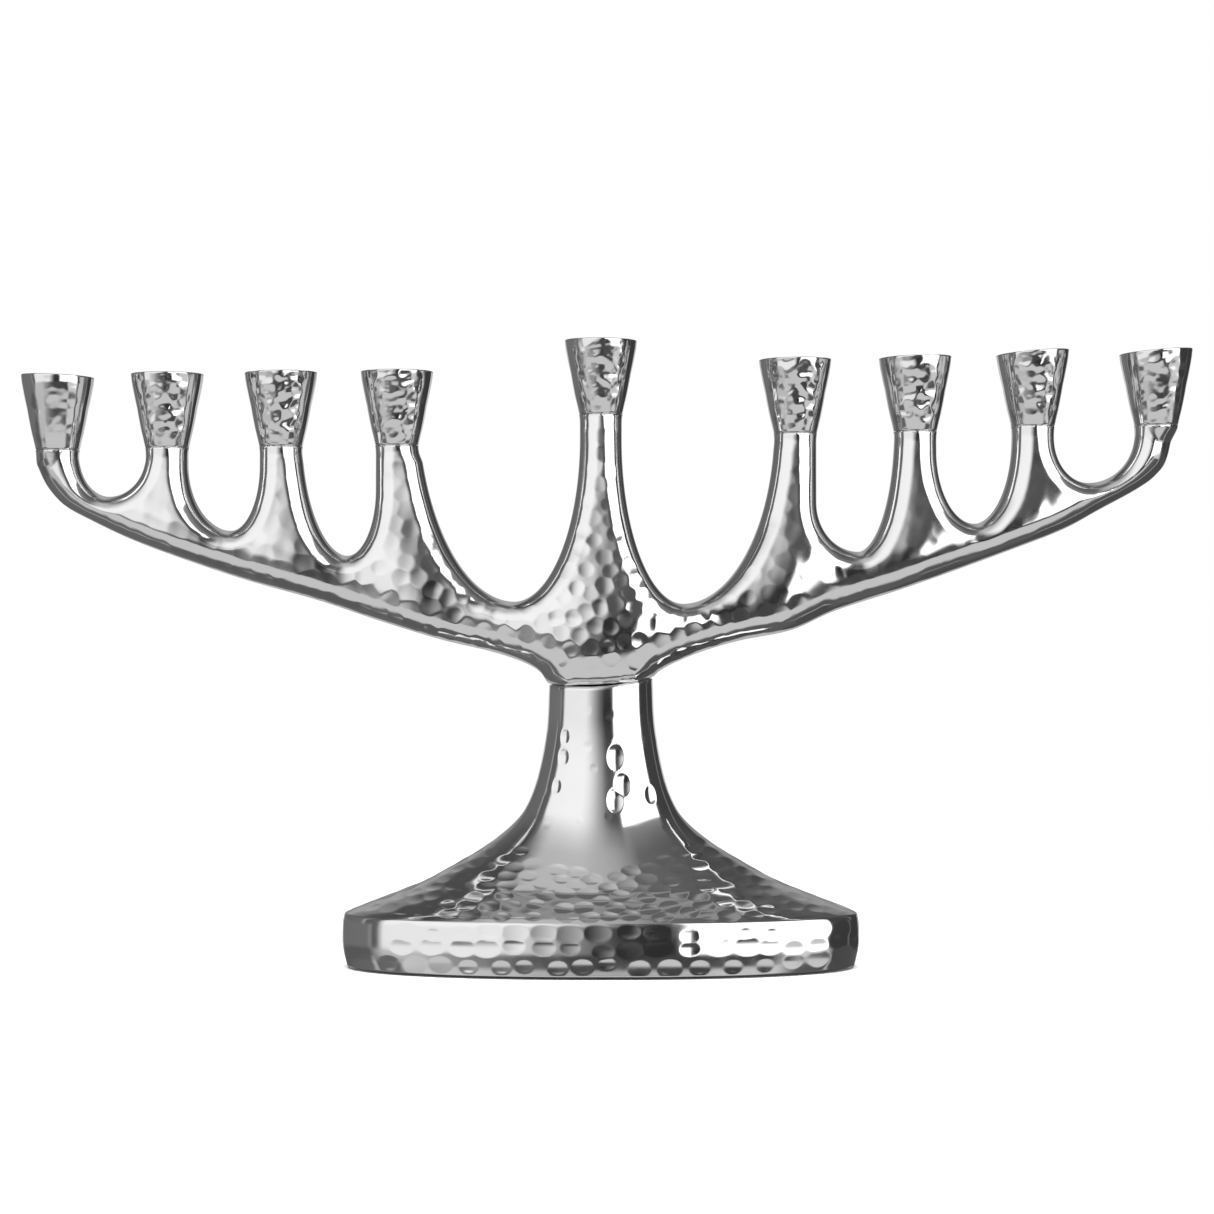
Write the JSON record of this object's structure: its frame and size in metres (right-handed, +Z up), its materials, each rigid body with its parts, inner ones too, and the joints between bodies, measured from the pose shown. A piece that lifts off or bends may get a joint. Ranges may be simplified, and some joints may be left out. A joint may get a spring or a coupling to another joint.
{
  "type": "menorah",
  "caption": "Branched candle stand in hammered silver-coloured metal: flared cups on curved stems over a waisted column and an oval base.",
  "frame": {"origin": "under the middle of the base, on the surface that the object stands on", "axes": "+X along the row of cups towards the viewer's right, +Y from the front to the back, +Z up"},
  "size_m": [0.3805, 0.072, 0.2035],
  "materials": {
    "hammered_metal": "mirror-polished over hammer marks, neutral silver, fine file marks on the cups",
    "zinc_plated_steel": "dull zinc plating",
    "dark_felt": "matt pressed felt"
  },
  "bodies": {
    "root": {"branch_casting": "hammered_metal", "candle_cup_left_4": "hammered_metal", "candle_cup_left_3": "hammered_metal", "candle_cup_left_2": "hammered_metal", "candle_cup_left_1": "hammered_metal", "shamash_cup": "hammered_metal", "candle_cup_right_1": "hammered_metal", "candle_cup_right_2": "hammered_metal", "candle_cup_right_3": "hammered_metal", "candle_cup_right_4": "hammered_metal", "pedestal_casting": "hammered_metal", "pedestal_bolt": "zinc_plated_steel", "flat_washer": "zinc_plated_steel", "spring_washer": "zinc_plated_steel", "felt_underlay": "dark_felt"}
  },
  "joints": []
}
